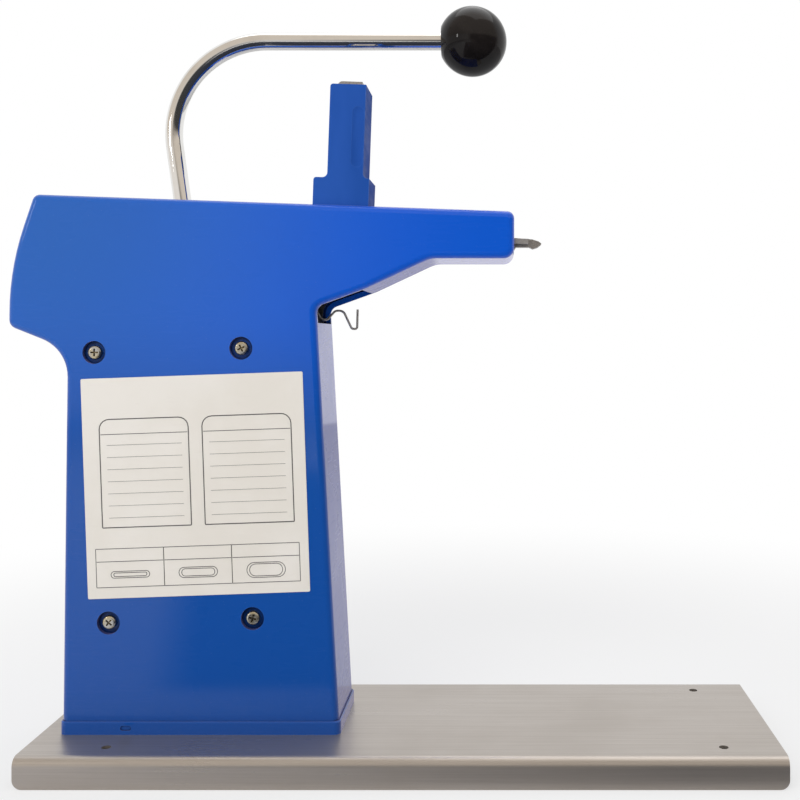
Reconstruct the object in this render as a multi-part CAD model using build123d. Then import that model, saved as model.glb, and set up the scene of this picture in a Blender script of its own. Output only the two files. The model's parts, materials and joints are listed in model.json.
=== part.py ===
from build123d import *
import math
import os

# Bag clipping machine: a hand lever turns a toothed sector in the column, the sector drives a
# rack-toothed ram along the head, and the ram carries each clip from the tower to the nose.
# Millimetres, +Z up, +X toward the nose, origin on the ground under the middle of the outline.
# The near side, which carries the plate, faces -Y.

# Base: a sheet bent down along its two long edges
BASE_X0 = -191.0
BASE_LENGTH = 400.0
BASE_DEPTH = 120.0
BASE_HEIGHT = 16.2
BASE_SHEET = 2.5
BASE_BEND_R = 5.0
BASE_CORNER_R = 5.0
BASE_HOLE_D = 5.0
BASE_HOLE_X = (-148.0, 178.0)
BASE_HOLE_Y = 45.0
BOLT_HOLE_CLEARANCE = 0.3

# Casing: two moulded shells that part at the middle plane
CASING_DEPTH = 54.0
WALL = 3.0
COVER_EDGE_R = 3.6
HEAD_TILT_DEG = 2.03
HEAD_REAR_X = -209.0
HEAD_TOP_REAR = (-195.2, 311.0)
NOSE_END_X = 67.6
NOSE_BOTTOM_Z = 275.9
THROAT_FRONT = (21.5, 275.9)
THROAT_MIDDLE = (-13.5, 259.5)
THROAT_CORNER = (-40.8, 249.6)
COLUMN_RIGHT_FOOT_X = -28.0
COLUMN_LEFT_FOOT_X = -179.4
COLUMN_LEFT_TOP = (-177.0, 226.0)
HEAD_REAR_BOTTOM_Z = 238.8
HEAD_REAR_BULGE_Z = 270.0
SKIRT_HEIGHT = 7.2
SKIRT_PROUD = 0.8
SKIRT_CHAMFER = 0.6
SKIRT_DIMPLE_X = -144.0
SKIRT_DIMPLE_SIZE = (6.0, 2.6)
SKIRT_DIMPLE_DEPTH = 0.5
THROAT_OPENING_X = (-50.0, -16.0)
THROAT_OPENING_Z = (240.5, 262.0)
THROAT_OPENING_DEPTH = 43.6
RIB_WIDTH = 2.0
RIB_HEIGHT = 1.2
RIB_LEVELS_Z = (50.0, 105.0, 185.0)
RIB_LEVEL_END_GAPS = (6.0, 14.0)
RIB_UPRIGHTS_X = (-130.0, -105.0)
RIB_UPRIGHT_Z = (30.0, 240.0)
RIB_HEAD_S = (-80.0, 150.0)

# Screws of the two covers
COVER_SCREW_AT = ((-161.6, 224.4), (-81.5, 226.7), (-153.7, 76.9), (-75.2, 79.3))
COVER_SCREW_D = 4.0
COVER_SCREW_HEAD_D = 7.6
COVER_SCREW_HEAD_H = 2.6
COVER_RECESS_D = 12.6
COVER_RECESS_DEPTH = 3.0
COVER_BOSS_D = 16.0
COVER_HOLE_CLEARANCE = 0.4
CROSS_REACH = 4.2
CROSS_WIDTH = 0.9
CROSS_DEPTH = 2.4
CROSS_TURN_DEG = 25.0
CLINCH_NUT_D = 8.5
CLINCH_NUT_H = 2.6

# Plate on the near face
LABEL_CENTRE = (-106.2, 152.0)
LABEL_WIDTH = 121.0
LABEL_HEIGHT = 120.0
LABEL_TURN_DEG = 2.0
LABEL_THICK = 0.4
LABEL_CORNER_R = 0.8

# Steel frame inside the casing
PLATE_GAP = 40.0
PLATE_THICK = 2.5
PLATE_CLEARANCE = 1.5
PILLAR_AT = ((-167.0, 165.0), (-48.0, 165.0), (-196.0, 252.0))
PILLAR_D = 11.0
FOOT_BLOCK_X = (-165.0, -45.0)
FOOT_BLOCK_HEIGHT = 22.0
FOOT_BLOCK_EDGE_R = 4.0
FRAME_WINDOWS = (
    (-140.0, -88.0, 54.0, 98.0, 8.0),
    (-152.0, -78.0, 152.0, 198.0, 10.0),
    (-186.0, -124.0, 246.0, 270.0, 7.0),
)
FOOT_BOLT_X = (-150.0, -60.0)
FOOT_BOLT_Y = 12.0
FOOT_BOLT_D = 6.0
FOOT_BOLT_LENGTH = 16.0
FOOT_BOLT_HOLE_DEPTH = 15.0
FOOT_POCKET = (48.0, 24.0)
FOOT_POCKET_FLOOR = 5.0
FOOT_SCREW_OFFSET = 12.0
FOOT_SCREW_DROP = 9.0
FOOT_BOLT_HEAD_AF = 10.0
FOOT_BOLT_HEAD_H = 4.0
WASHER_D = 12.5
WASHER_H = 1.6
WASHER_CLEARANCE = 0.2
SIDE_SCREW_D = 5.0
SIDE_SCREW_HEAD_D = 9.2
SIDE_SCREW_HEAD_H = 2.4
SIDE_SCREW_LENGTH = 12.0
SMALL_SCREW_D = 3.0
SMALL_SCREW_HEAD_D = 6.0
SMALL_SCREW_HEAD_H = 1.7
GUIDE_SCREW_LENGTH = 11.0
FINGER_SCREW_LENGTH = 12.3

# Lever, its shaft and the toothed sector
PIVOT = (-111.0, 128.3)
GEAR_MODULE = 2.0
GEAR_TEETH_FULL_CIRCLE = 157
PRESSURE_ANGLE_DEG = 20.0
TOOTH_THINNING = 0.12
LEVER_TURN_DEG = 30.0
SECTOR_TOOTH_FIRST = -14
SECTOR_TOOTH_LAST = 1
SECTOR_THICK = 8.0
SECTOR_RIM = 8.0
SECTOR_SPOKE_FRONT_DEG = -1.8
SECTOR_SPOKE_DEG = 4.2
SECTOR_WINDOW_INNER_R = 52.0
SECTOR_WINDOW_CORNER_R = 3.0
SHAFT_D = 16.0
SHAFT_CLEARANCE = 0.05
HUB_D = 38.0
HUB_END_PLAY = 0.3
HUB_PIN_D = 5.0
HUB_PIN_OFFSET = 6.2
HUB_PIN_TURN_DEG = 115.0
HUB_GAP = 1.0
PRESS_FIT = 0.04
BUSH_D = 21.0
BUSH_FLANGE_D = 27.0
BUSH_FLANGE_THICK = 2.5
ARM_THICK = 7.0
HANDLE_Y = 12.0
HANDLE_ROD_D = 10.0
HANDLE_TILT_DEG = 8.0
HANDLE_POINT = (-125.7, 315.6)
HANDLE_TOP_Z = 404.8
HANDLE_BEND_R = 54.0
HANDLE_FOOT_Z = 272.0
ARM_BOSS_D = 14.0
ARM_BOSS_Z = (268.0, 292.0)
ARM_FOOT_X = (-129.5, -92.5)
ARM_WAIST_X = (-125.6, -108.8)
ARM_WAIST_Z = 235.0
ARM_WAIST_R = (60.0, 40.0)
ARM_TOP_REACH = (6.5, 6.0)
SPRING_LUG_END_R = 7.0
SET_SCREW_RISE = (6.0, 14.0)
SET_SCREW_D = 4.0
SET_SCREW_LENGTH = 2.6
SET_SCREW_SOCKET_R = 1.1
KNOB_D = 40.0
KNOB_CENTRE_X = 43.5
KNOB_FLAT_D = 18.0
KNOB_BORE_DEPTH = 16.0
HANDLE_SLOT_X = (-131.6, -20.0)
HANDLE_SLOT_CLEARANCE = 1.5
HANDLE_SLOT_FLOOR_Z = 295.0

# Stops and return spring
STOP_PIN_D = 7.0
STOP_SLEEVE_D = 12.0
STOP_GAP = 0.3
STOP_PIN_REACH = 7.0
STOP_SLEEVE_REACH = 6.5
STOP_SLEEVE_END_GAP = 0.2
REST_STOP_Z = 215.0
STROKE_STOP_Z = 200.0
SPRING_Y = 2.0
SPRING_LUG_R = 30.0
SPRING_LUG_DOWN_DEG = 15.0
SPRING_POST_Z = 60.0
SPRING_PIN_D = 6.0
SPRING_PIN_REACH = 2.5
SPRING_EYE_CLEARANCE = 0.1
SPRING_COIL_R = 5.2
SPRING_WIRE_D = 1.6
SPRING_TURNS = 13

# Ram and its guide, placed along the head (s) and square to it (h) from the pitch point
RAM_Y = -10.0
CLIP_WIDTH = 14.0
CLIP_LENGTH = 13.0
CLIP_THICK = 2.9
CLIP_STRIP = 2.0
CLIP_OUTER_R = 4.5
CLIP_INNER_R = 2.5
CLIP_FLOAT = 0.1
BLADE_H = (5.5, 9.0)
STEM_WIDTH = 9.8
RACK_TOOTH_FIRST = -14
RACK_TOOTH_LAST = 0
RAM_REAR_S = -88.0
STEM_FRONT_S = 7.0
GUIDE_REAR_S = -84.0
GUIDE_FRONT_S = 172.4
GUIDE_H = (0.3, 13.0)
GUIDE_WIDTH = 20.0
SLIDE_CLEARANCE = 0.1
STEM_SLOT_CLEARANCE = 0.3
STEM_SLOT_FRONT_S = 94.0
GUIDE_SCREW_S = (-70.0, -20.0, 40.0, 110.0, 162.0)
NOSE_SPACER_S = (118.0, 150.0)
NOSE_SPACER_D = 10.0

# Clip tower and what is in it
TOWER_S = 78.9
TOWER_WIDTH = 19.6
TOWER_DEPTH = 27.0
TOWER_BLOCK_S = (61.6, 92.2)
TOWER_BLOCK_TOP_H = 37.7
TOWER_SPIGOT_INSET = 3.7
TOWER_TOP_H = 89.2
TOWER_EDGE_R = 1.6
TOWER_NECK_R = 2.8
FLUTE_S = 6.0
FLUTE_WIDTH = 6.4
FLUTE_DEPTH = 0.8
FLUTE_H = (47.0, 74.0)
LINER_THICK = 1.1
CLIP_PLAY = 0.6
STACK_COUNT = 14
STACK_PITCH = 3.05
WEIGHT_PROUD = 3.0
WEIGHT_DOME_R = 2.6

# Anvil finger in the nose
FINGER_WIDTH = 6.0
FINGER_OUTLINE = (
    (140.2, 1.5), (172.6, 1.5), (174.0, 4.0), (181.4, 4.3), (183.4, 3.4), (186.0, 4.3),
    (188.4, 6.3), (186.6, 7.6), (183.0, 8.6), (170.5, 9.2), (170.5, 5.3), (140.2, 5.3),
)
FINGER_SCREW_S = (146.0, 160.0)
FINGER_SCREW_H = 3.4

# Wire hook under the head
WIRE_D = 1.3
WIRE_Y = 1.7
WIRE_ROUTE = (
    (-46.4, 289.5), (-46.4, 250.0), (-41.4, 240.2), (-34.6, 247.9),
    (-30.0, 247.9), (-25.2, 237.6), (-22.1, 237.4), (-21.8, 248.6),
)
WIRE_BENDS = (14.0, 3.2, 3.0, 3.6, 1.5, 1.3)
WIRE_EYE_R = 3.0

# Sizes that follow from the ones above
HALF_DEPTH = CASING_DEPTH / 2
PLATE_IN = PLATE_GAP / 2
PLATE_OUT = PLATE_IN + PLATE_THICK
BASE_X1 = BASE_X0 + BASE_LENGTH
PITCH_R = GEAR_MODULE * GEAR_TEETH_FULL_CIRCLE / 2
TOOTH_PITCH = math.pi * GEAR_MODULE
TOOTH_ANGLE = 360 / GEAR_TEETH_FULL_CIRCLE
ADDENDUM = GEAR_MODULE
DEDENDUM = 1.25 * GEAR_MODULE
STROKE = PITCH_R * math.radians(LEVER_TURN_DEG)
TILT = math.radians(HEAD_TILT_DEG)
PITCH_POINT = (PIVOT[0] + PITCH_R * math.sin(TILT), PIVOT[1] + PITCH_R * math.cos(TILT))
RAM_PLANE = Plane(
    origin=(PITCH_POINT[0], 0, PITCH_POINT[1]),
    x_dir=(math.cos(TILT), 0, -math.sin(TILT)),
    z_dir=(0, -1, 0),
)
HEAD_TOP_H = (HEAD_TOP_REAR[0] - PITCH_POINT[0]) * math.sin(TILT) + (
    HEAD_TOP_REAR[1] - PITCH_POINT[1]
) * math.cos(TILT)
NOSE_TOP_Z = HEAD_TOP_REAR[1] - (NOSE_END_X - HEAD_TOP_REAR[0]) * math.tan(TILT)
RAM_TIP_S = TOWER_S - CLIP_LENGTH / 2 - 0.3
WAITING_CLIP_S = RAM_TIP_S + STROKE + CLIP_LENGTH + 0.5
HUB_END_Y = PLATE_IN - BUSH_FLANGE_THICK - HUB_END_PLAY
GUIDE_Y0 = RAM_Y - GUIDE_WIDTH / 2
GUIDE_Y1 = RAM_Y + GUIDE_WIDTH / 2
ARM_LEFT_EDGE = ((ARM_FOOT_X[0], PIVOT[1]), (ARM_WAIST_X[0], ARM_WAIST_Z))
ARM_RIGHT_EDGE = ((ARM_FOOT_X[1], PIVOT[1]), (ARM_WAIST_X[1], ARM_WAIST_Z))


def between(plane, sketch, y0, y1):
    """Extrude a side-view sketch so that it fills y0 to y1."""
    return extrude(plane.offset(-y1) * sketch, amount=y1 - y0)


def side_rectangle(x0, x1, z0, z1):
    return Pos((x0 + x1) / 2, (z0 + z1) / 2) * Rectangle(x1 - x0, z1 - z0)


def side_box(x0, x1, z0, z1, y0, y1):
    return between(Plane.XZ, side_rectangle(x0, x1, z0, z1), y0, y1)


def ram_box(s0, s1, h0, h1, y0, y1):
    return between(RAM_PLANE, side_rectangle(s0, s1, h0, h1), y0, y1)


def cross_pin(at, diameter, y0, y1, plane=Plane.XZ):
    return between(plane, Pos(*at) * Circle(diameter / 2), y0, y1)


def ram_point(s, h):
    """X and Z of a place given along and square to the head."""
    return (
        PITCH_POINT[0] + s * math.cos(TILT) + h * math.sin(TILT),
        PITCH_POINT[1] - s * math.sin(TILT) + h * math.cos(TILT),
    )


def turned(at, degrees):
    """Where a point of the lever goes when the handle is pulled down by an angle."""
    angle = math.radians(degrees)
    dx = at[0] - PIVOT[0]
    dz = at[1] - PIVOT[1]
    return (
        PIVOT[0] + dx * math.cos(angle) + dz * math.sin(angle),
        PIVOT[1] - dx * math.sin(angle) + dz * math.cos(angle),
    )


def rounded_face(corners):
    """A closed face from (x, z, corner radius) triples."""
    points = [(x, z) for x, z, _ in corners]
    radii = [r for _, _, r in corners]
    return make_face(FilletPolyline(*points, radius=radii, close=True))


def casing_face():
    return rounded_face((
        (HEAD_TOP_REAR[0], HEAD_TOP_REAR[1], 4.0),
        (NOSE_END_X, NOSE_TOP_Z, 4.0),
        (NOSE_END_X, NOSE_BOTTOM_Z, 6.0),
        (THROAT_FRONT[0], THROAT_FRONT[1], 16.0),
        (THROAT_MIDDLE[0], THROAT_MIDDLE[1], 16.0),
        (THROAT_CORNER[0], THROAT_CORNER[1], 5.0),
        (COLUMN_RIGHT_FOOT_X, BASE_HEIGHT, 0),
        (COLUMN_LEFT_FOOT_X, BASE_HEIGHT, 0),
        (COLUMN_LEFT_TOP[0], COLUMN_LEFT_TOP[1], 22.0),
        (HEAD_REAR_X, HEAD_REAR_BOTTOM_Z, 5.0),
        (HEAD_REAR_X, HEAD_REAR_BULGE_Z, 150.0),
    ))


def span(side, inner, outer):
    """The y range from inner to outer on one side of the middle plane."""
    return (-outer, -inner) if side < 0 else (inner, outer)


def countersunk_screw(at, side, face, diameter, head_d, head_h, length, plane=Plane.XZ):
    """A countersunk screw whose flat head is flush with the plane y = side * face."""
    head = Cone(head_d / 2, diameter / 2, head_h, align=(Align.CENTER, Align.CENTER, Align.MIN))
    shank = Cylinder(diameter / 2 - 0.05, length, align=(Align.CENTER, Align.CENTER, Align.MIN))
    socket = extrude(RegularPolygon(diameter * 0.32, 6), amount=head_h * 0.6)
    screw = head + shank - socket
    centre = plane.from_local_coords(Vector(at[0], at[1], 0))
    seat = Plane(
        origin=(centre.X, side * face, centre.Z), x_dir=(1, 0, 0), z_dir=(0, -side, 0)
    )
    return seat * screw


def countersink_cut(at, side, face, diameter, head_d, head_h, depth, plane=Plane.XZ):
    """The hole that such a screw sits in, a twentieth of a millimetre wider all round."""
    gap = 0.05
    head = Cone(
        head_d / 2 + gap, diameter / 2 + gap, head_h + gap,
        align=(Align.CENTER, Align.CENTER, Align.MIN),
    )
    shank = Cylinder(diameter / 2, depth, align=(Align.CENTER, Align.CENTER, Align.MIN))
    centre = plane.from_local_coords(Vector(at[0], at[1], 0))
    seat = Plane(
        origin=(centre.X, side * face, centre.Z), x_dir=(1, 0, 0), z_dir=(0, -side, 0)
    )
    return seat * (head + shank)


# Base and foot

def base_plate():
    inner_y = BASE_DEPTH / 2 - BASE_SHEET
    inner_z = BASE_HEIGHT - BASE_SHEET
    outside = rounded_face((
        (-BASE_DEPTH / 2, 0, 0),
        (-BASE_DEPTH / 2, BASE_HEIGHT, BASE_BEND_R),
        (BASE_DEPTH / 2, BASE_HEIGHT, BASE_BEND_R),
        (BASE_DEPTH / 2, 0, 0),
    ))
    inside = rounded_face((
        (-inner_y, 0, 0),
        (-inner_y, inner_z, BASE_BEND_R - BASE_SHEET),
        (inner_y, inner_z, BASE_BEND_R - BASE_SHEET),
        (inner_y, 0, 0),
    ))
    section = Plane.YZ.offset(BASE_X0) * (outside - inside)
    plate = extrude(section, amount=BASE_LENGTH)
    ends = [
        e for e in plate.edges().filter_by(Axis.Y)
        if e.center().Z < 0.01 and e.length < BASE_SHEET * 1.5
    ]
    plate = fillet(ends, BASE_CORNER_R)
    for x in BASE_HOLE_X:
        for y in (-BASE_HOLE_Y, BASE_HOLE_Y):
            plate -= Pos(x, y, BASE_HEIGHT) * Cylinder(BASE_HOLE_D / 2, 3 * BASE_SHEET)
    for x in FOOT_BOLT_X:
        for y in (-FOOT_BOLT_Y, FOOT_BOLT_Y):
            plate -= Pos(x, y, BASE_HEIGHT) * Cylinder(
                FOOT_BOLT_D / 2 + BOLT_HOLE_CLEARANCE, 3 * BASE_SHEET
            )
    return plate


def foot_block():
    top = BASE_HEIGHT + FOOT_BLOCK_HEIGHT
    block = side_box(*FOOT_BLOCK_X, BASE_HEIGHT, top, -PLATE_IN, PLATE_IN)
    block = fillet(block.edges().filter_by(Axis.Y).group_by(Axis.Z)[-1], FOOT_BLOCK_EDGE_R)
    for x in FOOT_BOLT_X:
        for y in (-FOOT_BOLT_Y, FOOT_BOLT_Y):
            block -= Pos(x, y, BASE_HEIGHT) * Cylinder(
                FOOT_BOLT_D / 2 + 0.05, 2 * FOOT_BOLT_HOLE_DEPTH
            )
        for side in (-1, 1):
            y0, y1 = span(side, PLATE_IN - SIDE_SCREW_LENGTH, PLATE_IN)
            at = (x + FOOT_SCREW_OFFSET, top - FOOT_SCREW_DROP)
            block -= cross_pin(at, SIDE_SCREW_D, y0, y1)
    middle = sum(FOOT_BLOCK_X) / 2
    half_x, half_y = FOOT_POCKET[0] / 2, FOOT_POCKET[1] / 2
    floor_z = BASE_HEIGHT + FOOT_POCKET_FLOOR
    return block - side_box(middle - half_x, middle + half_x, floor_z, top + 1, -half_y, half_y)


def foot_bolts():
    bolts = []
    underside = BASE_HEIGHT - BASE_SHEET - WASHER_H
    for x in FOOT_BOLT_X:
        for y in (-FOOT_BOLT_Y, FOOT_BOLT_Y):
            head = extrude(RegularPolygon(FOOT_BOLT_HEAD_AF / math.sqrt(3), 6), amount=FOOT_BOLT_HEAD_H)
            shank = Cylinder(
                FOOT_BOLT_D / 2, FOOT_BOLT_LENGTH, align=(Align.CENTER, Align.CENTER, Align.MIN)
            )
            bolt = Pos(0, 0, -FOOT_BOLT_HEAD_H) * head + shank
            bolts.append(Pos(x, y, underside) * bolt)
    return Compound(children=bolts)


def foot_washers():
    washers = []
    for x in FOOT_BOLT_X:
        for y in (-FOOT_BOLT_Y, FOOT_BOLT_Y):
            ring = Cylinder(WASHER_D / 2, WASHER_H)
            ring -= Cylinder(FOOT_BOLT_D / 2 + WASHER_CLEARANCE, WASHER_H)
            washers.append(Pos(x, y, BASE_HEIGHT - BASE_SHEET - WASHER_H / 2) * ring)
    return Compound(children=washers)


# Covers

def cover_skirt(side):
    y0, y1 = span(side, 0, HALF_DEPTH + SKIRT_PROUD)
    skirt = side_box(
        COLUMN_LEFT_FOOT_X - SKIRT_PROUD, COLUMN_RIGHT_FOOT_X + SKIRT_PROUD,
        BASE_HEIGHT, BASE_HEIGHT + SKIRT_HEIGHT, y0, y1,
    )
    outer = skirt.edges().filter_by(Axis.Z).group_by(Axis.Y)[0 if side < 0 else -1]
    skirt = fillet(outer, COVER_EDGE_R)
    rim = skirt.faces().sort_by(Axis.Z)[-1].edges().group_by(Axis.Y)[0 if side < 0 else -1]
    return chamfer(rim, SKIRT_CHAMFER)


def cover_ribs(side):
    """Low stiffening ribs on the inside of the big flat wall."""
    wall = HALF_DEPTH - WALL
    y0, y1 = span(side, wall - RIB_HEIGHT, wall + 0.5)
    ribs = []
    x0 = COLUMN_LEFT_FOOT_X + RIB_LEVEL_END_GAPS[0]
    x1 = COLUMN_RIGHT_FOOT_X - RIB_LEVEL_END_GAPS[1]
    for z in RIB_LEVELS_Z:
        ribs.append(side_box(x0, x1, z, z + RIB_WIDTH, y0, y1))
    for x in RIB_UPRIGHTS_X:
        ribs.append(side_box(x, x + RIB_WIDTH, *RIB_UPRIGHT_Z, y0, y1))
    ribs.append(ram_box(*RIB_HEAD_S, 0.0, RIB_WIDTH, y0, y1))
    return ribs


def cover_shell(side):
    """One moulded half of the casing, from the middle plane out to its side face."""
    face = casing_face()
    y0, y1 = span(side, 0, HALF_DEPTH)
    shell = between(Plane.XZ, face, y0, y1)
    outer = shell.faces().sort_by(Axis.Y)[0 if side < 0 else -1]
    shell = fillet(outer.edges(), COVER_EDGE_R)
    shell += cover_skirt(side)
    c0, c1 = span(side, 0, HALF_DEPTH - WALL)
    hollow = between(Plane.XZ, offset(face, amount=-WALL, kind=Kind.INTERSECTION), c0, c1)
    hollow += side_box(
        COLUMN_LEFT_FOOT_X + WALL, COLUMN_RIGHT_FOOT_X - WALL - 0.5,
        BASE_HEIGHT - 1, BASE_HEIGHT + 3 * WALL, c0, c1,
    )
    shell -= hollow
    for rib in cover_ribs(side):
        shell += rib
    b0, b1 = span(side, PLATE_OUT, HALF_DEPTH - WALL + 0.5)
    r0, r1 = span(side, HALF_DEPTH - COVER_RECESS_DEPTH, HALF_DEPTH + 1)
    h0, h1 = span(side, PLATE_IN, HALF_DEPTH)
    for at in COVER_SCREW_AT:
        shell += cross_pin(at, COVER_BOSS_D, b0, b1)
        shell -= cross_pin(at, COVER_RECESS_D, r0, r1)
        shell -= cross_pin(at, COVER_SCREW_D + COVER_HOLE_CLEARANCE, h0, h1)
    shell -= side_box(
        *THROAT_OPENING_X, *THROAT_OPENING_Z,
        -THROAT_OPENING_DEPTH / 2, THROAT_OPENING_DEPTH / 2,
    )
    shell -= tower_hole()
    shell -= ram_box(
        GUIDE_FRONT_S - 8, GUIDE_FRONT_S + 6, GUIDE_H[0] - 0.2, GUIDE_H[1] + 0.2,
        GUIDE_Y0 - 0.2, GUIDE_Y1 + 0.2,
    )
    return shell


def tower_hole():
    return ram_box(
        TOWER_S - TOWER_WIDTH / 2 - 0.2, TOWER_S + TOWER_WIDTH / 2 + 0.2,
        HEAD_TOP_H - 3 * WALL, HEAD_TOP_H + 2,
        RAM_Y - TOWER_DEPTH / 2 + TOWER_SPIGOT_INSET - 0.2,
        RAM_Y + TOWER_DEPTH / 2 - TOWER_SPIGOT_INSET + 0.2,
    )


def near_cover():
    shell = cover_shell(-1)
    dimple = Plane.XZ.offset(HALF_DEPTH + SKIRT_PROUD) * (
        Pos(SKIRT_DIMPLE_X, BASE_HEIGHT + SKIRT_HEIGHT / 2) * SlotOverall(*SKIRT_DIMPLE_SIZE)
    )
    return shell - extrude(dimple, amount=-SKIRT_DIMPLE_DEPTH)


def far_cover():
    half_slot = HANDLE_ROD_D / 2 + HANDLE_SLOT_CLEARANCE
    slot = side_rectangle(*HANDLE_SLOT_X, -half_slot, half_slot)
    slot = fillet(slot.vertices(), half_slot - 0.5)
    cut = extrude(Plane.XY.offset(HANDLE_SLOT_FLOOR_Z) * Pos(0, HANDLE_Y) * slot, amount=30)
    return cover_shell(1) - cut


def phillips_cut():
    """The cross recess of a pan head."""
    return Box(CROSS_REACH, CROSS_WIDTH, CROSS_DEPTH) + Box(CROSS_WIDTH, CROSS_REACH, CROSS_DEPTH)


def cover_screws(side):
    """Pan-head screws, seated on the floor of each recess in the cover."""
    seat_y = HALF_DEPTH - COVER_RECESS_DEPTH
    screws = []
    for index, at in enumerate(COVER_SCREW_AT):
        head = Cylinder(
            COVER_SCREW_HEAD_D / 2, COVER_SCREW_HEAD_H,
            align=(Align.CENTER, Align.CENTER, Align.MIN),
        )
        head = fillet(head.edges().group_by(Axis.Z)[-1], COVER_SCREW_HEAD_H * 0.5)
        length = seat_y - PLATE_IN + CLINCH_NUT_H + 0.4
        shank = Pos(0, 0, -length) * Cylinder(
            COVER_SCREW_D / 2 - 0.05, length, align=(Align.CENTER, Align.CENTER, Align.MIN)
        )
        cross = Pos(0, 0, COVER_SCREW_HEAD_H) * Rot(0, 0, CROSS_TURN_DEG * index) * phillips_cut()
        seat = Plane(
            origin=(at[0], side * seat_y, at[1]), x_dir=(1, 0, 0), z_dir=(0, side, 0)
        )
        screws.append(seat * (head + shank - cross))
    return Compound(children=screws)


def clinch_nuts():
    nuts = []
    for side in (-1, 1):
        y0, y1 = span(side, PLATE_IN - CLINCH_NUT_H, PLATE_IN)
        for at in COVER_SCREW_AT:
            nuts.append(cross_pin(at, CLINCH_NUT_D, y0, y1) - cross_pin(at, COVER_SCREW_D, y0, y1))
    return Compound(children=nuts)


def label_plate():
    plate = RectangleRounded(LABEL_WIDTH, LABEL_HEIGHT, LABEL_CORNER_R)
    placed = Pos(*LABEL_CENTRE) * Rot(0, 0, LABEL_TURN_DEG) * plate
    return between(Plane.XZ, placed, -HALF_DEPTH - LABEL_THICK, -HALF_DEPTH)


# Steel frame

def frame_face():
    return offset(casing_face(), amount=-(WALL + PLATE_CLEARANCE), kind=Kind.INTERSECTION)


def side_plate(side):
    y0, y1 = span(side, PLATE_IN, PLATE_OUT)
    plate = between(Plane.XZ, frame_face(), y0, y1)
    for x0, x1, z0, z1, radius in FRAME_WINDOWS:
        window = side_rectangle(x0, x1, z0, z1)
        plate -= between(Plane.XZ, fillet(window.vertices(), radius), y0, y1)
    plate -= cross_pin(PIVOT, BUSH_D, y0, y1)
    for at in COVER_SCREW_AT:
        plate -= cross_pin(at, COVER_SCREW_D, y0, y1)
    for at in PILLAR_AT + foot_side_screw_places():
        plate -= countersink_cut(
            at, side, PLATE_OUT, SIDE_SCREW_D, SIDE_SCREW_HEAD_D, SIDE_SCREW_HEAD_H, 6.0
        )
    return plate


def near_side_plate():
    plate = side_plate(-1)
    for at in guide_screw_places() + finger_screw_places():
        plate -= countersink_cut(
            at, -1, PLATE_OUT, SMALL_SCREW_D, SMALL_SCREW_HEAD_D, SMALL_SCREW_HEAD_H, 6.0
        )
    return plate


def far_side_plate():
    plate = side_plate(1)
    for at in nose_spacer_places():
        plate -= countersink_cut(
            at, 1, PLATE_OUT, SIDE_SCREW_D, SIDE_SCREW_HEAD_D, SIDE_SCREW_HEAD_H, 6.0
        )
    for at in (rest_stop_place(), stroke_stop_place()):
        plate -= cross_pin(at, STOP_PIN_D, PLATE_IN, PLATE_OUT)
    plate -= cross_pin(spring_post_place(), SPRING_PIN_D, PLATE_IN, PLATE_OUT)
    return plate


def foot_side_screw_places():
    z = BASE_HEIGHT + FOOT_BLOCK_HEIGHT - FOOT_SCREW_DROP
    return tuple((x + FOOT_SCREW_OFFSET, z) for x in FOOT_BOLT_X)


def guide_screw_places():
    return tuple(ram_point(s, (BLADE_H[1] + GUIDE_H[1]) / 2 + 0.1) for s in GUIDE_SCREW_S)


def finger_screw_places():
    return tuple(ram_point(s, FINGER_SCREW_H) for s in FINGER_SCREW_S)


def nose_spacer_places():
    return tuple(ram_point(s, sum(GUIDE_H) / 2) for s in NOSE_SPACER_S)


def frame_pillars():
    pillars = []
    for at in PILLAR_AT:
        pillar = cross_pin(at, PILLAR_D, -PLATE_IN, PLATE_IN)
        for side in (-1, 1):
            y0, y1 = span(side, PLATE_IN - SIDE_SCREW_LENGTH, PLATE_IN)
            pillar -= cross_pin(at, SIDE_SCREW_D, y0, y1)
        pillars.append(pillar)
    return Compound(children=pillars)


def nose_spacers():
    spacers = []
    for at in nose_spacer_places():
        spacer = cross_pin(at, NOSE_SPACER_D, GUIDE_Y1, PLATE_IN)
        spacer -= cross_pin(at, SIDE_SCREW_D, PLATE_IN - SIDE_SCREW_LENGTH, PLATE_IN)
        spacers.append(spacer)
    return Compound(children=spacers)


def frame_screws():
    """Countersunk screws that hold the side plates to the pillars, foot block and spacers."""
    size = (SIDE_SCREW_D, SIDE_SCREW_HEAD_D, SIDE_SCREW_HEAD_H, SIDE_SCREW_LENGTH)
    screws = []
    for side in (-1, 1):
        for at in PILLAR_AT + foot_side_screw_places():
            screws.append(countersunk_screw(at, side, PLATE_OUT, *size))
    for at in nose_spacer_places():
        screws.append(countersunk_screw(at, 1, PLATE_OUT, *size))
    return Compound(children=screws)


def shaft_bushes():
    bushes = []
    for side in (-1, 1):
        y0, y1 = span(side, PLATE_IN, PLATE_OUT)
        f0, f1 = span(side, PLATE_IN - BUSH_FLANGE_THICK, PLATE_IN)
        bush = cross_pin(PIVOT, BUSH_D, y0, y1) + cross_pin(PIVOT, BUSH_FLANGE_D, f0, f1)
        bore = cross_pin(PIVOT, SHAFT_D + 2 * SHAFT_CLEARANCE, -PLATE_OUT, PLATE_OUT)
        bushes.append(bush - bore)
    return Compound(children=bushes)


# Lever: shaft, sector, arm, rod and knob

def pivot_shaft():
    shaft = cross_pin(PIVOT, SHAFT_D, -PLATE_OUT, PLATE_OUT)
    shaft = chamfer(shaft.edges().filter_by(GeomType.CIRCLE), 0.8)
    for at in hub_pin_places():
        shaft -= at * Cylinder(HUB_PIN_D / 2, HUB_D * 2)
    return shaft


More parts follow.
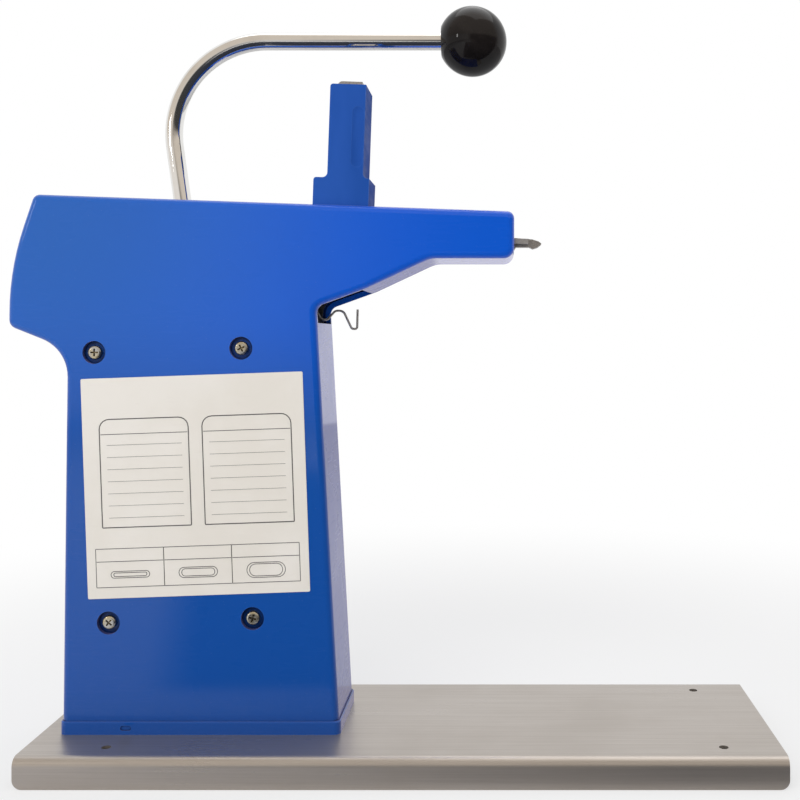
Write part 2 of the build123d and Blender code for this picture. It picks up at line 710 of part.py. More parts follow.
def hub_pin_places():
    """Cross pins lie square to the shaft, one through each hub."""
    inner = PLATE_IN - BUSH_FLANGE_THICK
    return tuple(
        Pos(PIVOT[0], side * (inner / 2 + HUB_PIN_OFFSET), PIVOT[1]) * Rot(0, HUB_PIN_TURN_DEG, 0)
        for side in (-1, 1)
    )


def hub_pins():
    length = HUB_D - 2.0
    return Compound(children=[at * Cylinder(HUB_PIN_D / 2 - 0.03, length) for at in hub_pin_places()])


def involute(angle):
    return math.tan(angle) - angle


def sector_tooth():
    """One involute tooth, centred on the pitch direction of the sector."""
    pressure = math.radians(PRESSURE_ANGLE_DEG)
    base_r = PITCH_R * math.cos(pressure)
    half_at_pitch = (TOOTH_PITCH - 2 * TOOTH_THINNING) / (4 * PITCH_R)

    def flank(radius, hand):
        half = half_at_pitch + involute(pressure) - involute(math.acos(base_r / radius))
        return (radius * math.sin(hand * half), radius * math.cos(half))

    root = PITCH_R - DEDENDUM - 1.0
    tip = PITCH_R + ADDENDUM
    left = ThreePointArc(flank(root, -1), flank(PITCH_R, -1), flank(tip, -1))
    top = Line(flank(tip, -1), flank(tip, 1))
    right = ThreePointArc(flank(tip, 1), flank(PITCH_R, 1), flank(root, 1))
    foot = Line(flank(root, 1), flank(root, -1))
    return make_face([left, top, right, foot])


def ring_sector(inner, outer, start_deg, end_deg):
    """Part of a ring about the pivot, between two angles from the pitch direction."""
    middle = (start_deg + end_deg) / 2

    def at(radius, degrees):
        angle = math.radians(degrees)
        return (radius * math.sin(angle), radius * math.cos(angle))

    return make_face([
        ThreePointArc(at(outer, start_deg), at(outer, middle), at(outer, end_deg)),
        Line(at(outer, end_deg), at(inner, end_deg)),
        ThreePointArc(at(inner, end_deg), at(inner, middle), at(inner, start_deg)),
        Line(at(inner, start_deg), at(outer, start_deg)),
    ])


def sector_gear():
    root_r = PITCH_R - DEDENDUM
    rim_r = root_r - SECTOR_RIM
    rear = (SECTOR_TOOTH_FIRST - 0.5) * TOOTH_ANGLE
    front = (SECTOR_TOOTH_LAST + 0.5) * TOOTH_ANGLE
    web = ring_sector(SHAFT_D / 2, root_r, rear, SECTOR_SPOKE_FRONT_DEG)
    web += ring_sector(rim_r, root_r, rear, front)
    tooth = sector_tooth()
    for index in range(SECTOR_TOOTH_FIRST, SECTOR_TOOTH_LAST + 1):
        web += Rot(0, 0, -index * TOOTH_ANGLE) * tooth
    opening = (SECTOR_SPOKE_FRONT_DEG - rear - 3 * SECTOR_SPOKE_DEG) / 2
    for index in range(2):
        start = rear + SECTOR_SPOKE_DEG + index * (opening + SECTOR_SPOKE_DEG)
        window = ring_sector(SECTOR_WINDOW_INNER_R, rim_r - 2, start, start + opening)
        web -= fillet(window.vertices(), SECTOR_WINDOW_CORNER_R)
    web += Circle(HUB_D / 2 + 3)
    pivot_plane = Plane(
        origin=(PIVOT[0], 0, PIVOT[1]),
        x_dir=(math.cos(TILT), 0, -math.sin(TILT)),
        z_dir=(0, -1, 0),
    )
    y0 = RAM_Y - SECTOR_THICK / 2
    gear = between(pivot_plane, web, y0, y0 + SECTOR_THICK)
    gear += cross_pin(PIVOT, HUB_D, -HUB_END_Y, -HUB_GAP / 2)
    gear -= cross_pin(PIVOT, SHAFT_D + PRESS_FIT, -PLATE_IN, 0)
    return gear - hub_pin_places()[0] * Cylinder(HUB_PIN_D / 2, HUB_D * 2)


def handle_line_x(z):
    """X of the straight leg of the handle at a height."""
    return HANDLE_POINT[0] - (z - HANDLE_POINT[1]) * math.tan(math.radians(HANDLE_TILT_DEG))


def edge_x(edge, z):
    (x0, z0), (x1, z1) = edge
    return x0 + (x1 - x0) * (z - z0) / (z1 - z0)


def rest_stop_place():
    """The sleeve stands just behind the arm when the handle is up."""
    reach = STOP_SLEEVE_D / 2 + STOP_GAP
    return (edge_x(ARM_LEFT_EDGE, REST_STOP_Z) - reach, REST_STOP_Z)


def stroke_stop_place():
    """The other sleeve meets the front of the arm when the handle is down."""
    reach = STOP_SLEEVE_D / 2 + STOP_GAP
    (x0, z0), (x1, z1) = ARM_RIGHT_EDGE
    length = math.hypot(x1 - x0, z1 - z0)
    touch = (edge_x(ARM_RIGHT_EDGE, STROKE_STOP_Z), STROKE_STOP_Z)
    outward = ((z1 - z0) / length, -(x1 - x0) / length)
    at_rest = (touch[0] + reach * outward[0], touch[1] + reach * outward[1])
    return turned(at_rest, LEVER_TURN_DEG)


def spring_lug_place():
    angle = math.radians(SPRING_LUG_DOWN_DEG)
    return (
        PIVOT[0] - SPRING_LUG_R * math.cos(angle),
        PIVOT[1] - SPRING_LUG_R * math.sin(angle),
    )


def spring_post_place():
    return (spring_lug_place()[0], SPRING_POST_Z)


def handle_arm():
    y0 = HANDLE_Y - ARM_THICK / 2
    y1 = y0 + ARM_THICK
    low_right, high_right = ARM_RIGHT_EDGE
    low_left, high_left = ARM_LEFT_EDGE
    top_z = ARM_BOSS_Z[1] - 2
    blade = rounded_face((
        (low_right[0], low_right[1], 0),
        (high_right[0], high_right[1], ARM_WAIST_R[1]),
        (handle_line_x(top_z) + ARM_TOP_REACH[1], top_z, 2.0),
        (handle_line_x(top_z) - ARM_TOP_REACH[0], top_z, 2.0),
        (high_left[0], high_left[1], ARM_WAIST_R[0]),
        (low_left[0], low_left[1], 0),
    ))
    lug_x, lug_z = spring_lug_place()
    blade += Pos(*PIVOT) * Circle(HUB_D / 2)
    blade += Pos(lug_x, lug_z) * Circle(SPRING_LUG_END_R)
    blade += rounded_face((
        (lug_x, lug_z - SPRING_LUG_END_R, 0), (PIVOT[0], PIVOT[1] - HUB_D / 2, 0),
        (PIVOT[0], PIVOT[1] + 12, 0), (lug_x - 1, lug_z + SPRING_LUG_END_R, 0),
    ))
    arm = between(Plane.XZ, blade, y0, y1)
    arm += cross_pin(PIVOT, HUB_D, HUB_GAP / 2, HUB_END_Y)
    low = Vector(handle_line_x(ARM_BOSS_Z[0]), HANDLE_Y, ARM_BOSS_Z[0])
    high = Vector(handle_line_x(ARM_BOSS_Z[1]), HANDLE_Y, ARM_BOSS_Z[1])
    axis = Plane(origin=low, z_dir=high - low)
    length = (high - low).length
    arm += axis * Cylinder(ARM_BOSS_D / 2, length, align=(Align.CENTER, Align.CENTER, Align.MIN))
    bore_start = HANDLE_FOOT_Z - ARM_BOSS_Z[0]
    arm -= axis * Pos(0, 0, bore_start) * Cylinder(
        HANDLE_ROD_D / 2 + 0.02, length, align=(Align.CENTER, Align.CENTER, Align.MIN)
    )
    arm -= cross_pin(PIVOT, SHAFT_D + PRESS_FIT, 0, PLATE_IN)
    arm -= cross_pin((lug_x, lug_z), SPRING_PIN_D, y0, y1)
    arm -= hub_pin_places()[1] * Cylinder(HUB_PIN_D / 2, HUB_D * 2)
    for place in set_screw_places():
        arm -= place * Cylinder(SET_SCREW_D / 2, 8.0, align=(Align.CENTER, Align.CENTER, Align.MIN))
    return arm


def set_screw_places():
    """Two grub screws press on the rod from behind, square to it."""
    tilt = math.radians(HANDLE_TILT_DEG)
    back = Vector(-math.cos(tilt), 0, -math.sin(tilt))
    places = []
    for rise in SET_SCREW_RISE:
        z = HANDLE_FOOT_Z + rise
        start = Vector(handle_line_x(z), HANDLE_Y, z) + back * (HANDLE_ROD_D / 2 + 0.02)
        places.append(Plane(origin=start, z_dir=back))
    return places


def set_screws():
    screws = []
    for place in set_screw_places():
        screw = Cylinder(
            SET_SCREW_D / 2 - 0.03, SET_SCREW_LENGTH, align=(Align.CENTER, Align.CENTER, Align.MIN)
        )
        screw -= Pos(0, 0, 1.4) * extrude(RegularPolygon(SET_SCREW_SOCKET_R, 6), amount=2)
        screws.append(place * screw)
    return Compound(children=screws)


def handle_rod():
    corner = (handle_line_x(HANDLE_TOP_Z), HANDLE_TOP_Z)
    foot = (handle_line_x(HANDLE_FOOT_Z), HANDLE_FOOT_Z)
    end_x = knob_flat_x() + KNOB_BORE_DEPTH - 0.5
    path = Plane.XZ.offset(-HANDLE_Y) * FilletPolyline(
        foot, corner, (end_x, HANDLE_TOP_Z), radius=HANDLE_BEND_R
    )
    start = path ^ 0
    section = Plane(origin=start.position, z_dir=path % 0) * Circle(HANDLE_ROD_D / 2)
    return sweep(section, path=path)


def knob_flat_x():
    radius = KNOB_D / 2
    return KNOB_CENTRE_X - math.sqrt(radius ** 2 - (KNOB_FLAT_D / 2) ** 2)


def ball_knob():
    centre = (KNOB_CENTRE_X, HANDLE_Y, HANDLE_TOP_Z)
    knob = Pos(*centre) * Sphere(KNOB_D / 2)
    flat = knob_flat_x()
    knob -= Pos(flat - KNOB_D, HANDLE_Y, HANDLE_TOP_Z) * Box(2 * KNOB_D, KNOB_D, KNOB_D)
    bore = Plane(origin=(flat, HANDLE_Y, HANDLE_TOP_Z), z_dir=(1, 0, 0))
    return knob - bore * Cylinder(
        HANDLE_ROD_D / 2 + 0.02, KNOB_BORE_DEPTH, align=(Align.CENTER, Align.CENTER, Align.MIN)
    )


# Stops and spring

def stop_pins():
    pins = []
    for at in (rest_stop_place(), stroke_stop_place()):
        pins.append(cross_pin(at, STOP_PIN_D, HANDLE_Y - STOP_PIN_REACH, PLATE_OUT))
    return Compound(children=pins)


def stop_sleeves():
    sleeves = []
    for at in (rest_stop_place(), stroke_stop_place()):
        y0 = HANDLE_Y - STOP_SLEEVE_REACH
        y1 = PLATE_IN - STOP_SLEEVE_END_GAP
        sleeves.append(
            cross_pin(at, STOP_SLEEVE_D, y0, y1) - cross_pin(at, STOP_PIN_D + PRESS_FIT, y0, y1)
        )
    return Compound(children=sleeves)


def spring_lug_pin():
    y1 = HANDLE_Y + ARM_THICK / 2
    return cross_pin(spring_lug_place(), SPRING_PIN_D - 0.04, SPRING_Y - SPRING_PIN_REACH, y1)


def spring_post():
    return cross_pin(spring_post_place(), SPRING_PIN_D, SPRING_Y - SPRING_PIN_REACH, PLATE_OUT)


def return_spring():
    """A tension spring with an eye at each end, hooked over the lug pin and the post."""
    x, top_z = spring_lug_place()
    hang = SPRING_COIL_R - SPRING_WIRE_D / 2 - SPRING_PIN_D / 2 - SPRING_EYE_CLEARANCE
    top_eye = top_z - hang
    low_eye = SPRING_POST_Z + hang
    coil_z0 = low_eye + SPRING_COIL_R
    coil_height = top_eye - SPRING_COIL_R - coil_z0
    pitch = coil_height / SPRING_TURNS
    helix = Pos(x, SPRING_Y, coil_z0) * Helix(pitch, coil_height, SPRING_COIL_R)
    section = Plane(origin=helix @ 0, z_dir=helix % 0) * Circle(SPRING_WIRE_D / 2)
    spring = sweep(section, path=helix, is_frenet=True)
    for eye_z, end in ((top_eye, helix @ 1), (low_eye, helix @ 0)):
        eye = Torus(SPRING_COIL_R, SPRING_WIRE_D / 2)
        spring += Pos(x, SPRING_Y, eye_z) * Rot(90, 0, 0) * eye
        foot = Pos(end.X, end.Y, end.Z) * Sphere(SPRING_WIRE_D / 2)
        leg = Pos(end.X, end.Y, (end.Z + eye_z) / 2) * Cylinder(
            SPRING_WIRE_D / 2, abs(eye_z - end.Z)
        )
        spring += foot + leg
    return spring


# Ram, guide and clips

def ram():
    half = CLIP_WIDTH / 2
    body = ram_box(RAM_REAR_S, RAM_TIP_S, *BLADE_H, RAM_Y - half, RAM_Y + half)
    stem_half = STEM_WIDTH / 2
    pressure = math.tan(math.radians(PRESSURE_ANGLE_DEG))
    half_thick = TOOTH_PITCH / 4 - TOOTH_THINNING / 2
    stem = side_rectangle(RAM_REAR_S, STEM_FRONT_S, DEDENDUM, BLADE_H[0] + 0.5)
    for index in range(RACK_TOOTH_FIRST, RACK_TOOTH_LAST + 1):
        s = (index + 0.5) * TOOTH_PITCH
        tip = half_thick - ADDENDUM * pressure
        root = half_thick + (DEDENDUM + 0.2) * pressure
        stem += make_face(Polyline(
            (s - root, DEDENDUM + 0.2), (s - tip, -ADDENDUM),
            (s + tip, -ADDENDUM), (s + root, DEDENDUM + 0.2), close=True,
        ))
    body += between(RAM_PLANE, stem, RAM_Y - stem_half, RAM_Y + stem_half)
    return body


def ram_guide():
    clip_half = CLIP_WIDTH / 2 + SLIDE_CLEARANCE
    stem_half = STEM_WIDTH / 2 + STEM_SLOT_CLEARANCE
    guide = ram_box(GUIDE_REAR_S, GUIDE_FRONT_S, *GUIDE_H, GUIDE_Y0, GUIDE_Y1)
    guide -= ram_box(
        GUIDE_REAR_S, GUIDE_FRONT_S, BLADE_H[0] - SLIDE_CLEARANCE, BLADE_H[1] + SLIDE_CLEARANCE,
        RAM_Y - clip_half, RAM_Y + clip_half,
    )
    guide -= ram_box(
        GUIDE_REAR_S, STEM_SLOT_FRONT_S, GUIDE_H[0], BLADE_H[0],
        RAM_Y - stem_half, RAM_Y + stem_half,
    )
    window_s = CLIP_LENGTH / 2 + CLIP_PLAY
    window_y = CLIP_WIDTH / 2 + CLIP_PLAY / 2
    guide -= ram_box(
        TOWER_S - window_s, TOWER_S + window_s, BLADE_H[1], GUIDE_H[1],
        RAM_Y - window_y, RAM_Y + window_y,
    )
    seat_half = FINGER_WIDTH / 2 + 0.05
    guide -= ram_box(
        FINGER_OUTLINE[0][0] - 0.1, GUIDE_FRONT_S, FINGER_OUTLINE[0][1] - 0.05, BLADE_H[0],
        RAM_Y - seat_half, RAM_Y + seat_half,
    )
    for at in guide_screw_places():
        guide -= cross_pin(at, SMALL_SCREW_D, GUIDE_Y0, GUIDE_Y0 + 10)
    for at in finger_screw_places():
        guide -= cross_pin(at, SMALL_SCREW_D, GUIDE_Y0, RAM_Y)
    for at in nose_spacer_places():
        guide -= cross_pin(at, 3.0, GUIDE_Y1 - 2.0, GUIDE_Y1)
    eye = wire_eye_centre()
    return guide - cross_pin(eye, SMALL_SCREW_D, GUIDE_Y1 - 4.0, GUIDE_Y1)


def guide_screws():
    return Compound(children=[
        countersunk_screw(
            at, -1, PLATE_OUT, SMALL_SCREW_D, SMALL_SCREW_HEAD_D, SMALL_SCREW_HEAD_H,
            GUIDE_SCREW_LENGTH,
        )
        for at in guide_screw_places()
    ])


def finger_screws():
    return Compound(children=[
        countersunk_screw(
            at, -1, PLATE_OUT, SMALL_SCREW_D, SMALL_SCREW_HEAD_D, SMALL_SCREW_HEAD_H,
            FINGER_SCREW_LENGTH,
        )
        for at in finger_screw_places()
    ])


def anvil_finger():
    outline = make_face(Polyline(*FINGER_OUTLINE, close=True))
    half = FINGER_WIDTH / 2
    finger = between(RAM_PLANE, outline, RAM_Y - half, RAM_Y + half)
    for at in finger_screw_places():
        finger -= cross_pin(at, SMALL_SCREW_D, RAM_Y - half, RAM_Y)
    tip = finger.edges().filter_by(Axis.Y).sort_by(Axis.X)[-4:]
    return fillet(tip, 0.5)


def clip_at(s, h):
    """A U of flat aluminium strip that lies in the guide with its legs toward the nose."""
    outer = Pos(CLIP_LENGTH / 2, 0) * Rectangle(CLIP_LENGTH, CLIP_WIDTH)
    outer = fillet(outer.vertices().group_by(Axis.X)[0], CLIP_OUTER_R)
    gap = CLIP_LENGTH - CLIP_STRIP
    inner = Pos(CLIP_STRIP + gap / 2, 0) * Rectangle(gap, CLIP_WIDTH - 2 * CLIP_STRIP)
    inner = fillet(inner.vertices().group_by(Axis.X)[0], CLIP_INNER_R)
    x, z = ram_point(s, h)
    flat = Plane(
        origin=(x, RAM_Y, z),
        x_dir=(math.cos(TILT), 0, -math.sin(TILT)),
        z_dir=(math.sin(TILT), 0, math.cos(TILT)),
    )
    return extrude(flat * (outer - inner), amount=CLIP_THICK)


def driven_clip():
    return clip_at(RAM_TIP_S + CLIP_FLOAT, BLADE_H[0] + CLIP_FLOAT)


def waiting_clip():
    return clip_at(WAITING_CLIP_S, BLADE_H[0] + CLIP_FLOAT)


def stack_height(index):
    return BLADE_H[1] + 0.3 + index * STACK_PITCH


def clip_stack():
    start = TOWER_S - CLIP_LENGTH / 2
    return Compound(children=[clip_at(start, stack_height(i)) for i in range(STACK_COUNT)])


def is_neck(edge):
    """True for the two inner edges where the tower stands on its foot block."""
    left, _ = ram_point(TOWER_S - TOWER_WIDTH / 2, TOWER_BLOCK_TOP_H)
    right, _ = ram_point(TOWER_S + TOWER_WIDTH / 2, TOWER_BLOCK_TOP_H)
    return min(abs(edge.center().X - left), abs(edge.center().X - right)) < 0.1


def tower_flute(face_y):
    """A shallow round-ended groove for the finger tip, on the near face."""
    radius = (FLUTE_WIDTH ** 2 / 4 + FLUTE_DEPTH ** 2) / (2 * FLUTE_DEPTH)
    x0, z0 = ram_point(TOWER_S + FLUTE_S, FLUTE_H[0])
    x1, z1 = ram_point(TOWER_S + FLUTE_S, FLUTE_H[1])
    y = face_y + FLUTE_DEPTH - radius
    low = Vector(x0, y, z0)
    high = Vector(x1, y, z1)
    bar = Plane(origin=low, z_dir=high - low) * Cylinder(
        radius, (high - low).length, align=(Align.CENTER, Align.CENTER, Align.MIN)
    )
    return bar + Pos(*low) * Sphere(radius) + Pos(*high) * Sphere(radius)


def clip_tower():
    y0 = RAM_Y - TOWER_DEPTH / 2
    y1 = RAM_Y + TOWER_DEPTH / 2
    block = ram_box(*TOWER_BLOCK_S, HEAD_TOP_H, TOWER_BLOCK_TOP_H, y0, y1)
    block = fillet(block.edges().filter_by(GeomType.LINE).group_by(Axis.Z)[-1], TOWER_EDGE_R)
    tall = ram_box(
        TOWER_S - TOWER_WIDTH / 2, TOWER_S + TOWER_WIDTH / 2, HEAD_TOP_H, TOWER_TOP_H, y0, y1
    )
    tall = fillet(tall.edges().group_by(Axis.Z)[-1], TOWER_EDGE_R)
    spigot = ram_box(
        TOWER_S - TOWER_WIDTH / 2, TOWER_S + TOWER_WIDTH / 2, GUIDE_H[1], HEAD_TOP_H,
        y0 + TOWER_SPIGOT_INSET, y1 - TOWER_SPIGOT_INSET,
    )
    half_s = CLIP_LENGTH / 2 + CLIP_PLAY + LINER_THICK + 0.05
    half_y = CLIP_WIDTH / 2 + CLIP_PLAY / 2 + LINER_THICK + 0.05
    shaft = ram_box(
        TOWER_S - half_s, TOWER_S + half_s, GUIDE_H[1] - 1, TOWER_TOP_H + 1,
        RAM_Y - half_y, RAM_Y + half_y,
    )
    body = block + tall
    neck = body.edges().filter_by(Axis.Y).filter_by(is_neck)
    return fillet(neck, TOWER_NECK_R) + spigot - tower_flute(y0) - shaft


def tower_liner():
    half_s = CLIP_LENGTH / 2 + CLIP_PLAY
    half_y = CLIP_WIDTH / 2 + CLIP_PLAY / 2
    top = TOWER_TOP_H - 3.0
    outer = ram_box(
        TOWER_S - half_s - LINER_THICK, TOWER_S + half_s + LINER_THICK, GUIDE_H[1], top,
        RAM_Y - half_y - LINER_THICK, RAM_Y + half_y + LINER_THICK,
    )
    inner = ram_box(
        TOWER_S - half_s, TOWER_S + half_s, GUIDE_H[1], top, RAM_Y - half_y, RAM_Y + half_y
    )
    return outer - inner


def clip_weight():
    """The block that presses the stack down; its domed top shows above the tower."""
    bottom = stack_height(STACK_COUNT) + 0.1
    top = TOWER_TOP_H + WEIGHT_PROUD
    half_s = CLIP_LENGTH / 2 + CLIP_PLAY / 2
    half_y = CLIP_WIDTH / 2
    weight = ram_box(
        TOWER_S - half_s, TOWER_S + half_s, bottom, top, RAM_Y - half_y, RAM_Y + half_y
    )
    return fillet(weight.edges().group_by(Axis.Z)[-1], WEIGHT_DOME_R)


# Wire hook

def wire_eye_centre():
    x, z = WIRE_ROUTE[0]
    return (x, z + WIRE_EYE_R + 2.0)


def wire_hook():
    path = Plane.XZ.offset(-WIRE_Y) * FilletPolyline(*WIRE_ROUTE, radius=WIRE_BENDS)
    section = Plane(origin=path @ 0, z_dir=path % 0) * Circle(WIRE_D / 2)
    wire = sweep(section, path=path)
    x, z = wire_eye_centre()
    eye_r = WIRE_EYE_R
    eye = Pos(x, WIRE_Y, z) * Rot(90, 0, 0) * Torus(eye_r, WIRE_D / 2)
    stem_z = z - eye_r
    stem = Pos(x, WIRE_Y, (stem_z + WIRE_ROUTE[0][1]) / 2) * Cylinder(
        WIRE_D / 2, stem_z - WIRE_ROUTE[0][1] + 0.2
    )
    return wire + stem + eye


def wire_screw():
    """Holds the eye of the wire hook to the far side of the guide."""
    at = wire_eye_centre()
    seat_y = WIRE_Y + WIRE_D / 2
    return (
        cross_pin(at, 5.4, seat_y, seat_y + 1.8)
        + cross_pin(at, 2 * (WIRE_EYE_R - WIRE_D / 2) - 0.2, GUIDE_Y1, seat_y)
        + cross_pin(at, SMALL_SCREW_D - 0.1, GUIDE_Y1 - 3.8, GUIDE_Y1)
    )


PIECES = {
    "base_plate": base_plate,
    "foot_block": foot_block,
    "foot_bolts": foot_bolts,
    "foot_washers": foot_washers,
    "near_cover": near_cover,
    "far_cover": far_cover,
    "near_cover_screws": lambda: cover_screws(-1),
    "far_cover_screws": lambda: cover_screws(1),
    "clinch_nuts": clinch_nuts,
    "label_plate": label_plate,
    "near_side_plate": near_side_plate,
    "far_side_plate": far_side_plate,
    "frame_pillars": frame_pillars,
    "nose_spacers": nose_spacers,
    "frame_screws": frame_screws,
    "shaft_bushes": shaft_bushes,
    "pivot_shaft": pivot_shaft,
    "hub_pins": hub_pins,
    "sector_gear": sector_gear,
    "handle_arm": handle_arm,
    "handle_rod": handle_rod,
    "set_screws": set_screws,
    "ball_knob": ball_knob,
    "stop_pins": stop_pins,
    "stop_sleeves": stop_sleeves,
    "spring_lug_pin": spring_lug_pin,
    "spring_post": spring_post,
    "return_spring": return_spring,
    "ram": ram,
    "driven_clip": driven_clip,
    "ram_guide": ram_guide,
    "guide_screws": guide_screws,
    "anvil_finger": anvil_finger,
    "finger_screws": finger_screws,
    "waiting_clip": waiting_clip,
    "clip_tower": clip_tower,
    "tower_liner": tower_liner,
    "clip_stack": clip_stack,
    "clip_weight": clip_weight,
    "wire_hook": wire_hook,
    "wire_screw": wire_screw,
}

os.makedirs("parts", exist_ok=True)
for name, build in PIECES.items():
    export_step(build(), os.path.join("parts", name + ".step"))
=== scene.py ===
import json
import math

import bmesh
import bpy
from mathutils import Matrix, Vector


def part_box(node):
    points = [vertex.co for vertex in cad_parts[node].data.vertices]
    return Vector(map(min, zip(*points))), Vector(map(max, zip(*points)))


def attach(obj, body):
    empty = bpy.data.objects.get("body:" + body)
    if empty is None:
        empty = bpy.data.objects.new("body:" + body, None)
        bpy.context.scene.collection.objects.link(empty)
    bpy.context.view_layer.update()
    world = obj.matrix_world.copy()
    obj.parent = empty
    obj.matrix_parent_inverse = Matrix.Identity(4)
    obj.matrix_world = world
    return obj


# Bag clipping machine: materials, printed plate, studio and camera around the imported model.
# Metres, in the model's own frame: +Z up, +X toward the nose, the plate faces -Y.
# A name that ends in BAND holds the two values between which one look goes over into the next.

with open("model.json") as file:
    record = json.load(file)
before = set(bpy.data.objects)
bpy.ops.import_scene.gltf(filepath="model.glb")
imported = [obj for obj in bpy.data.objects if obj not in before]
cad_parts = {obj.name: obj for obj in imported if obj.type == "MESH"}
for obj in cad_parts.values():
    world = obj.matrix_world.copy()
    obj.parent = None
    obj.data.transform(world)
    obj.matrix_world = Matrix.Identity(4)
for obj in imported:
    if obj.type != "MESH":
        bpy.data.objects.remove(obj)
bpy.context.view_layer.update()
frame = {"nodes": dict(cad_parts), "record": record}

# Camera, level and looking along +Y
CAMERA_AT = (0.0624, -0.5987, 0.2316)
CAMERA_TURN = (math.radians(90), 0, 0)
CAMERA_LENS_MM = 47.2
CAMERA_SENSOR_MM = 36.0
CAMERA_SHIFT = (-0.131, -0.076)

# Lamps, which all point at one place
AIM_AT = (-0.03, 0.0, 0.2)
KEY_AT = (-0.55, -1.35, 1.15)
KEY_SIZE = (1.3, 1.0)
KEY_POWER = 13.0
TOP_AT = (0.15, 0.2, 1.5)
TOP_SIZE = (1.4, 1.2)
TOP_POWER = 6.0
STRIP_AT = (-1.05, -0.95, 0.60)
STRIP_SIZE = (0.10, 0.22)
STRIP_POWER = 0.9

# World: white for the camera, an even light, and a room for mirroring surfaces by direction
WHITE = (1.0, 1.0, 1.0, 1.0)
AMBIENT = (0.46, 0.46, 0.47, 1.0)
ROOM_LEFT = (0.84, 0.80, 0.76, 1.0)
ROOM_RIGHT = (0.05, 0.05, 0.05, 1.0)
ROOM_HIGH = (0.68, 0.61, 0.53, 1.0)
BACKDROP = (0.95, 0.95, 0.95, 1.0)
ROOM_LEFT_BAND = (0.0, -0.30)
ROOM_HIGH_BAND = (0.12, 0.24)
BACKDROP_BAND = (-0.15, 0.2)

# Floor: near the object it keeps its shadow, and farther out it goes over into white
FLOOR_RADIUS = 3.0
FLOOR_SEGMENTS = 96
FLOOR_PALE = (0.86, 0.86, 0.86, 1.0)
FLOOR_ROUGHNESS = 0.7
FLOOR_SPECULAR = 0.2
FLOOR_WHITE_BAND = (0.25, 0.75)
FLOOR_GLOW_NEAR = 0.6
FLOOR_GLOW_FAR = 1.0

# Dark floor that mirroring surfaces see: a strip beside the base, and a field in front of it
FLOOR_DARK = (0.022, 0.027, 0.042, 1.0)
DARK_STRIP_NEAR_BAND = (-0.055, -0.075)
DARK_STRIP_RIGHT_BAND = (-0.30, 0.22)
DARK_FIELD_NEAR_BAND = (-0.12, -0.17)
DARK_FIELD_FAR_BAND = (-1.5, -1.2)
DARK_FIELD_RIGHT_BAND = (-0.15, -0.10)
DARK_FIELD_SLANT = -0.27

# Shader measures that several materials share
NOISE_BAND = (0.3, 0.7)
GRAIN_STRETCH = 0.012
GRAIN_LINE_ROUGHER = 0.06
DULL_PATCH_ROUGHER = 0.10
STAIN_STRENGTH = 0.35
# Width of the edges that are paler from wear and a painted highlight
MOULDING_EDGE_RADIUS = 0.0006
SCREW_EDGE_RADIUS = 0.0003
BEVEL_SAMPLES = 4
EDGE_BAND = (0.998, 0.94)
# Painted shade in hollows: how it is sampled, and the band of its mask
CREVICE_SHADE_SAMPLES = 6
CREVICE_SHADE_BAND = (0.97, 0.55)
SPECK_CHOICE_BAND = (0.78, 0.8)

# Printed lines on the plate, in millimetres from its middle: across, then up
MM_IN_METRE = 1000
PLATE_MIDDLE_MM = (-106.2, 152.0)
PLATE_FACE_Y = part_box("label_plate")[0][1]
PLATE_TURN = math.radians(2.0)
PRINT_THICK_MM = 0.06
FINE_LINE_MM = 0.35
BOLD_LINE_MM = 0.55
ARC_STEPS = 5

# Corners round the section of a printed line: its side, and 0 on the plate or 1 proud of it
LINE_PROFILE = ((-1, 0), (-1, 1), (1, 1), (1, 0))

# Two panels with ruled lines: middle across, middle up, width and height
PANELS = ((-27.0, 8.0, 48.5, 59.0), (29.0, 8.0, 48.5, 59.0))
PANEL_HEAD_DROP = 8.2
PANEL_TOP_R = 5.4
PANEL_LOW_R = 0.5
RULE_COUNT = 7
RULE_PITCH = 6.6
FIRST_RULE_PITCHES = 0.9
RULE_HALF_LENGTH = 20.5

# Three cells with the outline of a clip in each, from flat to full
CELL_ROW_UP = -43.5
CELL_SIZE = (37.0, 21.0)
CELL_CENTRES = (-37.0, 0.0, 37.0)
CELL_HEAD_DROP = 7.0
CELL_CORNER_R = 0.3
CLIP_DRAWING_UP = -47.2
CLIP_DRAWING_WIDTH = 21.0
CLIP_DRAWING_HEIGHTS = (3.6, 5.6, 8.2)
CLIP_INNER_SMALLER = (3.0, 1.65)
CLIP_END_FLAT = 0.05


# Shader helpers

def new_material(name):
    """An empty material, its node tree and its shader."""
    material = bpy.data.materials.new(name)
    material.use_nodes = True
    tree = material.node_tree
    return material, tree, tree.nodes["Principled BSDF"]


def feed(tree, target, inputs):
    """Fill a node's inputs, each with a value or with a link from another node's output."""
    for key, value in inputs.items():
        if isinstance(value, bpy.types.NodeSocket):
            tree.links.new(value, target.inputs[key])
        else:
            target.inputs[key].default_value = value


def node(tree, kind, inputs=None, **settings):
    """A new node, with its inputs fed and its settings made."""
    made = tree.nodes.new(kind)
    for key, value in settings.items():
        setattr(made, key, value)
    feed(tree, made, inputs or {})
    return made


def place(tree, source="Object"):
    """The place on the object, or with Generated the direction in the world."""
    return node(tree, "ShaderNodeTexCoord").outputs[source]


def place_along(tree, axis, source="Object"):
    """X, Y or Z of that place or direction."""
    return node(tree, "ShaderNodeSeparateXYZ", {"Vector": place(tree, source)}).outputs[axis]


def noise(tree, scale, stretch=(1, 1, 1), detail=4.0, roughness=0.55):
    """Noise fixed to the object; scale counts features in a metre."""
    mapping = node(tree, "ShaderNodeMapping", {"Vector": place(tree), "Scale": stretch})
    made = node(tree, "ShaderNodeTexNoise", {
        "Vector": mapping.outputs["Vector"],
        "Scale": scale,
        "Detail": detail,
        "Roughness": roughness,
    })
    return made.outputs["Fac"]


